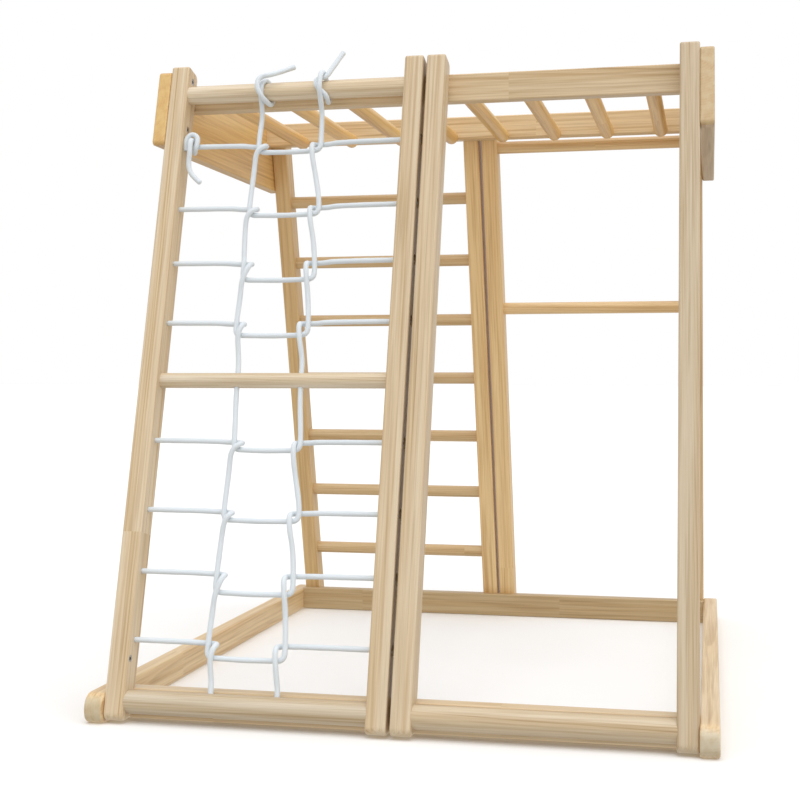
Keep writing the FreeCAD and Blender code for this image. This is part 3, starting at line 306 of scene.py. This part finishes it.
def pine(name, grain, centre, seed, tone=1.0, warmth=0.0, ring=0.0042, stave=0.31, end_tint=(0.93, 0.925, 0.92)):
    """Varnished pine: growth rings round a pith line beside the piece, fine fibre, staves of slightly different tone."""
    rng = np.random.default_rng(seed)
    m, tree, bsdf = new_material(name)
    a = Vector(grain).normalized()
    b = a.orthogonal().normalized()
    c = a.cross(b)
    spin = rng.uniform(0, 2 * math.pi)
    b, c = b * math.cos(spin) + c * math.sin(spin), c * math.cos(spin) - b * math.sin(spin)
    turn = Matrix((a, b, c)).to_euler()
    coord = add(tree, "ShaderNodeTexCoord")
    where = coord.outputs["Object"]
    moved = mapping(tree, where, location=tuple(-Vector(centre)))
    # 1 on cut ends, 0 along the sides
    across = add(tree, "ShaderNodeVectorMath", operation="DOT_PRODUCT")
    tree.links.new(coord.outputs["Normal"], across.inputs[0])
    across.inputs[1].default_value = tuple(a)
    cut_end = math_node(tree, "MULTIPLY", math_node(tree, "SUBTRACT", math_node(tree, "ABSOLUTE", across.outputs["Value"]), 0.45), 2.4, True)
    long_side = math_node(tree, "SUBTRACT", 1.0, math_node(tree, "MULTIPLY", cut_end, 0.82))
    local = mapping(tree, moved, rotation=tuple(turn))
    # staves: lengths of timber joined end to end
    parts = add(tree, "ShaderNodeSeparateXYZ")
    tree.links.new(local, parts.inputs[0])
    stave_at = math_node(tree, "FLOOR", math_node(tree, "DIVIDE", math_node(tree, "ADD", parts.outputs[0], float(rng.uniform(5, 6))), stave))
    pick = add(tree, "ShaderNodeTexWhiteNoise", noise_dimensions="1D")
    tree.links.new(math_node(tree, "ADD", stave_at, float(seed % 97)), pick.inputs["W"])
    shift = add(tree, "ShaderNodeCombineXYZ")
    tree.links.new(math_node(tree, "MULTIPLY", pick.outputs["Value"], 0.06), shift.inputs[1])
    tree.links.new(math_node(tree, "MULTIPLY", pick.outputs["Value"], 0.31), shift.inputs[0])
    stave_local = add(tree, "ShaderNodeVectorMath", operation="ADD")
    tree.links.new(local, stave_local.inputs[0])
    tree.links.new(shift.outputs[0], stave_local.inputs[1])
    at = stave_local.outputs[0]
    # growth rings: uneven widths, wandering a little along the grain
    wander = noise(tree, mapping(tree, at, scale=(1.3, 8.0, 8.0)), 1.0, 2.0, 0.5)
    away = rng.uniform(0.030, 0.060)
    tilt = rng.uniform(-0.030, 0.030)
    pith = mapping(tree, at, location=(0.0, away, rng.uniform(-0.02, 0.02)), rotation=(0.0, tilt, tilt * 0.6))
    flat = mapping(tree, pith, scale=(0.0, 1.0, 1.0))
    reach = add(tree, "ShaderNodeVectorMath", operation="LENGTH")
    tree.links.new(flat, reach.inputs[0])
    rings = math_node(tree, "ADD", math_node(tree, "DIVIDE", reach.outputs["Value"], ring),
                      math_node(tree, "MULTIPLY", wander.outputs["Fac"], 3.2))
    saw = math_node(tree, "FRACT", rings)
    late = ramp(tree, [(0.0, (0.12,) * 3), (0.10, (0.0,) * 3), (0.55, (0.22,) * 3), (0.86, (1.0,) * 3), (0.95, (0.80,) * 3), (1.0, (0.12,) * 3)])
    tree.links.new(saw, late.inputs[0])
    year = add(tree, "ShaderNodeTexWhiteNoise", noise_dimensions="1D")
    tree.links.new(math_node(tree, "FLOOR", rings), year.inputs["W"])
    # broad bands along the grain, streaks, fine fibre and pores
    band = noise(tree, mapping(tree, at, scale=(1.6, 74.0, 74.0)), 1.0, 2.0, 0.5)
    streak = noise(tree, mapping(tree, at, scale=(3.6, 210.0, 210.0)), 1.0, 3.0, 0.6)
    fibre = noise(tree, mapping(tree, at, scale=(9.0, 700.0, 700.0)), 1.0, 4.0, 0.62)
    pore = noise(tree, mapping(tree, at, scale=(26.0, 1500.0, 1500.0)), 1.0, 2.0, 0.5)
    light = tuple(min(1.0, tone * x) for x in (0.785, 0.599 - 0.055 * warmth, 0.366 - 0.10 * warmth))
    deep = tuple(tone * x for x in (0.545, 0.360 - 0.034 * warmth, 0.172 - 0.046 * warmth))
    pale = tuple(min(1.0, tone * x) for x in (0.835, 0.684 - 0.06 * warmth, 0.470 - 0.135 * warmth))
    depth = math_node(tree, "MULTIPLY", late.outputs[0], math_node(tree, "ADD", math_node(tree, "MULTIPLY", year.outputs["Value"], 0.62), 0.22))
    depth = math_node(tree, "MULTIPLY", depth, math_node(tree, "ADD", math_node(tree, "MULTIPLY", long_side, 0.7), 0.3))
    ringed = mixed(tree, "MIX", depth, light, deep)
    banded = mixed(tree, "MIX", ramp_out(tree, band.outputs["Fac"], (0.36, (0.0,) * 3), (0.64, (0.95,) * 3)), ringed, pale)
    streaked = mixed(tree, "MULTIPLY", math_node(tree, "MULTIPLY", long_side, 0.66), banded, ramp_out(tree, streak.outputs["Fac"], (0.30, (0.67, 0.575, 0.44)), (0.55, (1.0, 1.0, 1.0))))
    fibred = mixed(tree, "MULTIPLY", math_node(tree, "MULTIPLY", long_side, 0.42), streaked, ramp_out(tree, fibre.outputs["Fac"], (0.30, (0.70, 0.63, 0.54)), (0.66, (1.0, 1.0, 1.0))))
    stave_tone = ramp_out(tree, pick.outputs["Value"], (0.0, (0.955, 0.942, 0.918)), (1.0, (1.0, 1.0, 1.0)))
    toned = mixed(tree, "MULTIPLY", 1.0, fibred, stave_tone)
    ended = mixed(tree, "MULTIPLY", cut_end, toned, end_tint)
    tree.links.new(ended, bsdf.inputs["Base Color"])
    rough = ramp_out(tree, fibre.outputs["Fac"], (0.25, (0.48,) * 3), (0.75, (0.36,) * 3))
    tree.links.new(rough, bsdf.inputs["Roughness"])
    bsdf.inputs["Coat Weight"].default_value = 0.18
    bsdf.inputs["Coat Roughness"].default_value = 0.30
    bump = add(tree, "ShaderNodeBump")
    bump.inputs["Strength"].default_value = 0.16
    bump.inputs["Distance"].default_value = 0.0006
    tree.links.new(math_node(tree, "ADD", math_node(tree, "MULTIPLY", pore.outputs["Fac"], 0.6),
                             math_node(tree, "MULTIPLY", late.outputs[0], 0.35)), bump.inputs["Height"])
    tree.links.new(bump.outputs[0], bsdf.inputs["Normal"])
    return m


def ramp_out(tree, value, *stops):
    node = ramp(tree, list(stops))
    tree.links.new(value, node.inputs[0])
    return node.outputs[0]


def dress(node_name, material):
    mesh = nodes[node_name].data
    mesh.materials.clear()
    mesh.materials.append(material)
    mesh.polygons.foreach_set("material_index", np.zeros(len(mesh.polygons), np.int32))


def middle(node_name):
    low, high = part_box(node_name)
    return (low + high) / 2


UP_FRONT = (0.0, math.sin(SLOPE), math.cos(SLOPE))
UP_REAR = (0.0, -math.sin(SLOPE), math.cos(SLOPE))
seed = 11
# The tone and warmth set for each piece below are painted light and shade: lower tones paint shade on pieces deep in
# the frame, higher warmth paints warm light bounced between the wood, and negative warmth paints cool light from the
# floor on the front and lower pieces; only the small seeded factor in the call to pine is the wood's own tone
for n in sorted(nodes):
    grain = None
    tone, warmth, ring, stave = 1.0, 0.0, 0.0046, 0.31
    end_tint = (0.93, 0.925, 0.92)
    rear = n.startswith("rear")
    if n.endswith("_stile"):
        grain = UP_REAR if rear else UP_FRONT
        stave = 2.4
        tone, warmth = (0.97, -0.35)
        if rear:
            tone, warmth = {"rear_left_stile": (0.95, 1.1), "rear_right_stile": (1.02, 0.35)}.get(n, (1.19, 0.95))
    elif n.endswith("_skid"):
        # the skids' tone and warmth are painted light; their cut ends are darkened as end grain is, and tinted blue as
        # painted cool light from the floor
        grain, stave, tone, warmth, end_tint = (0, 1, 0), 2.4, 1.04, 0.55 if n == "left_skid" else 0.2, (0.77, 0.85, 0.97)
    elif n.endswith("_end_board"):
        grain, stave = (0, 1, 0), 2.4
        tone, warmth = (1.05, 1.7) if n == "left_end_board" else (0.97, 0.6)
    elif n.startswith("monkey_bar"):
        grain, stave, ring, tone, warmth = (0, 1, 0), 2.0, 0.0034, 1.12, 1.85
    elif n.endswith("_rail"):
        grain, stave = (1, 0, 0), 0.47
        warmth = {"rear_base_rail": 0.75, "rear_top_rail": 0.38}.get(n, 0.0)
        tone = {"rear_base_rail": 0.745, "rear_top_rail": 1.06}.get(n, 0.97)
    elif n.endswith("_bar") or n.startswith("ladder_rung"):
        grain, stave, ring = (1, 0, 0), 2.0, 0.0034
        if n.startswith("ladder") or rear:
            tone, warmth = (0.95, 0.65) if n.startswith("ladder") else (1.16, 0.75)
        elif n.endswith("bottom_bar"):
            tone, warmth = (0.83, -0.85) if n.startswith("net") else (0.86, -0.4)
        elif n == "net_mid_bar":
            tone, warmth = 1.04, -1.2
        else:
            tone, warmth = 1.04, -1.0
    if grain is None:
        continue
    # painted shade: the front right stile, front centre left stile and right end board are made darker still
    tone *= {"front_right_stile": 0.865, "front_centre_left_stile": 0.965, "right_end_board": 0.86}.get(n, 1.0)
    seed += 7
    dress(n, pine("pine_" + n, grain, middle(n), seed, tone * (0.975 + 0.05 * ((seed * 37) % 11) / 10.0), warmth, ring, stave, end_tint))

# Steel of the bolts, nuts, inserts and screws
steel, tree, bsdf = new_material("dark_steel")
where = add(tree, "ShaderNodeTexCoord").outputs["Object"]
grit = noise(tree, where, 900.0, 3.0, 0.6)
smear = noise(tree, where, 140.0, 2.0, 0.5)
tree.links.new(ramp_out(tree, smear.outputs["Fac"], (0.3, (0.42, 0.41, 0.40)), (0.7, (0.60, 0.59, 0.575))), bsdf.inputs["Base Color"])
tree.links.new(ramp_out(tree, grit.outputs["Fac"], (0.3, (0.28,) * 3), (0.7, (0.46,) * 3)), bsdf.inputs["Roughness"])
bsdf.inputs["Metallic"].default_value = 1.0
bump = add(tree, "ShaderNodeBump")
bump.inputs["Strength"].default_value = 0.12
bump.inputs["Distance"].default_value = 0.0002
tree.links.new(grit.outputs["Fac"], bump.inputs["Height"])
tree.links.new(bump.outputs[0], bsdf.inputs["Normal"])
for n in ("end_board_bolts", "end_board_nuts", "foot_inserts", "skid_bolts", "rail_end_screws", "centre_stile_screws"):
    dress(n, steel)

# White braided cord
cord, tree, bsdf = new_material("white_cord")
where = add(tree, "ShaderNodeTexCoord").outputs["Object"]
crown = add(tree, "ShaderNodeAttribute", attribute_name="crown")
fuzz = noise(tree, where, 2600.0, 2.0, 0.6)
soil = noise(tree, where, 38.0, 3.0, 0.55)
# painted shade: the braid's grooves, where the crown is low, are coloured darker, and the whole cord is tinted blue as
# painted cool light against the warm light of the studio's lower half
groove_shade = ramp_out(tree, crown.outputs["Fac"], (0.0, (0.58, 0.65, 0.72)), (0.75, (0.81, 0.87, 0.91)))
spun = mixed(tree, "MULTIPLY", 0.16, groove_shade, ramp_out(tree, fuzz.outputs["Fac"], (0.3, (0.72, 0.72, 0.74)), (0.7, (1.0, 1.0, 1.0))))
worn = mixed(tree, "MULTIPLY", 0.35, spun, ramp_out(tree, soil.outputs["Fac"], (0.3, (0.93, 0.93, 0.95)), (0.7, (1.0, 1.0, 1.0))))
tree.links.new(worn, bsdf.inputs["Base Color"])
tree.links.new(ramp_out(tree, fuzz.outputs["Fac"], (0.3, (0.72,) * 3), (0.7, (0.88,) * 3)), bsdf.inputs["Roughness"])
bsdf.inputs["Sheen Weight"].default_value = 0.25
bsdf.inputs["Sheen Roughness"].default_value = 0.5
bump = add(tree, "ShaderNodeBump")
bump.inputs["Strength"].default_value = 0.25
bump.inputs["Distance"].default_value = 0.0002
tree.links.new(fuzz.outputs["Fac"], bump.inputs["Height"])
tree.links.new(bump.outputs[0], bsdf.inputs["Normal"])
for piece in ropes:
    piece.data.materials.append(cord)

# ---------------------------------------------------------------------------
# Stopper knots: a rope end tied into a ball in each bore
# ---------------------------------------------------------------------------


def stopper_mesh(name):
    """Small overhand knot: three crossing turns of rope pressed into a ball."""
    verts, faces = [], []
    steps, around, big, small = 96, 10, 0.0036, 0.0030
    for i in range(steps):
        t = 2 * math.pi * i / steps
        def at(s):
            return Vector((big * (math.sin(s) + 0.62 * math.sin(2 * s)), big * (math.cos(s) - 0.62 * math.cos(2 * s)), -0.0030 * math.sin(3 * s)))
        p, q = at(t), at(t + 0.01)
        along = (q - p).normalized()
        side = along.cross(Vector((0, 0, 1))).normalized()
        up = side.cross(along)
        for j in range(around):
            a = 2 * math.pi * j / around
            verts.append(p + (side * math.cos(a) + up * math.sin(a)) * small)
    for i in range(steps):
        for j in range(around):
            k, l = (i + 1) % steps, (j + 1) % around
            faces.append((i * around + j, i * around + l, k * around + l, k * around + j))
    return verts, faces


verts, faces = stopper_mesh("stopper")
all_v, all_f, crowns = [], [], []
HOLE_Z = (975.0, 859.0, 760.0, 654.0, 452.0, 337.0, 237.0, 128.0)
for i, z in enumerate(HOLE_Z):
    for x in (-462.8, -10.2):
        base = len(all_v)
        spin = Matrix.Rotation(0.9 * i + x, 3, "X") @ Matrix.Rotation(math.pi / 2, 3, "Y")
        at = Vector(net(x, z))
        all_v += [tuple(at + spin @ v) for v in verts]
        all_f += [tuple(base + f for f in face) for face in faces]
mesh = bpy.data.meshes.new("stopper_knots")
mesh.from_pydata(all_v, [], all_f)
mesh.polygons.foreach_set("use_smooth", np.ones(len(mesh.polygons), bool))
mesh.attributes.new("crown", "FLOAT", "POINT").data.foreach_set("value", np.full(len(all_v), 0.8, np.float32))
knots = bpy.data.objects.new("stopper_knots", mesh)
collection.objects.link(knots)
mesh.materials.append(cord)
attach(knots, "root")
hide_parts("rope_stopper_knots")

# ---------------------------------------------------------------------------
# Floor and light
# ---------------------------------------------------------------------------
mesh = bpy.data.meshes.new("floor")
S = 60.0
mesh.from_pydata([(-S, -S, -0.0005), (S, -S, -0.0005), (S, S, -0.0005), (-S, S, -0.0005)], [], [(0, 1, 2, 3)])
floor = bpy.data.objects.new("floor", mesh)
collection.objects.link(floor)
pale, tree, bsdf = new_material("pale_floor")
where = add(tree, "ShaderNodeTexCoord").outputs["Object"]
mottle = noise(tree, where, 3.0, 3.0, 0.5)
tree.links.new(ramp_out(tree, mottle.outputs["Fac"], (0.3, (0.925, 0.925, 0.925)), (0.7, (0.94, 0.94, 0.94))), bsdf.inputs["Base Color"])
bsdf.inputs["Roughness"].default_value = 0.9
bsdf.inputs["Specular IOR Level"].default_value = 0.1
mesh.materials.append(pale)

floor.visible_diffuse = False             # the studio's lower half lights the undersides instead
floor.visible_glossy = False

world = bpy.data.worlds.new("studio")
scene.world = world
world.use_nodes = True
tree = world.node_tree
tree.nodes.clear()
out = tree.nodes.new("ShaderNodeOutputWorld")
around = tree.nodes.new("ShaderNodeTexCoord")
split = tree.nodes.new("ShaderNodeSeparateXYZ")
tree.links.new(around.outputs["Generated"], split.inputs[0])
height = add(tree, "ShaderNodeMapRange")
height.inputs["From Min"].default_value = -0.35
height.inputs["From Max"].default_value = 0.45
tree.links.new(split.outputs[2], height.inputs["Value"])
dome = ramp_out(tree, height.outputs[0], (0.0, (1.0, 0.945, 0.865)), (0.5, (0.92, 0.915, 0.905)), (1.0, (0.97, 0.97, 0.975)))
soft = tree.nodes.new("ShaderNodeBackground")
tree.links.new(dome, soft.inputs["Color"])
soft.inputs["Strength"].default_value = 0.74
white = tree.nodes.new("ShaderNodeBackground")
white.inputs["Color"].default_value = (1.0, 1.0, 1.0, 1.0)
white.inputs["Strength"].default_value = 1.0
choose = tree.nodes.new("ShaderNodeMixShader")
path = tree.nodes.new("ShaderNodeLightPath")
tree.links.new(path.outputs["Is Camera Ray"], choose.inputs[0])
tree.links.new(soft.outputs[0], choose.inputs[1])
tree.links.new(white.outputs[0], choose.inputs[2])
tree.links.new(choose.outputs[0], out.inputs["Surface"])


def sun(name, azimuth, elevation, strength, angle, colour):
    """Soft distant light; azimuth 0 shines from the front, 90 from the right."""
    data = bpy.data.lights.new(name, "SUN")
    data.energy = strength
    data.angle = math.radians(angle)
    data.color = colour
    o = bpy.data.objects.new(name, data)
    a, e = math.radians(azimuth), math.radians(elevation)
    back = Vector((math.sin(a) * math.cos(e), -math.cos(a) * math.cos(e), math.sin(e)))
    o.rotation_mode = "QUATERNION"
    o.rotation_quaternion = (-back).to_track_quat("-Z", "Y")
    o.location = back * 6.0
    collection.objects.link(o)


sun("key", 8.0, 55.0, 0.62, 40.0, (1.0, 0.99, 0.975))
sun("side", 78.0, 34.0, 0.55, 60.0, (1.0, 0.99, 0.97))
sun("top", 0.0, 82.0, 0.75, 50.0, (1.0, 1.0, 1.0))

scene.view_settings.view_transform = "Standard"
scene.view_settings.look = "None"
scene.view_settings.exposure = 0.0
scene.view_settings.gamma = 1.0
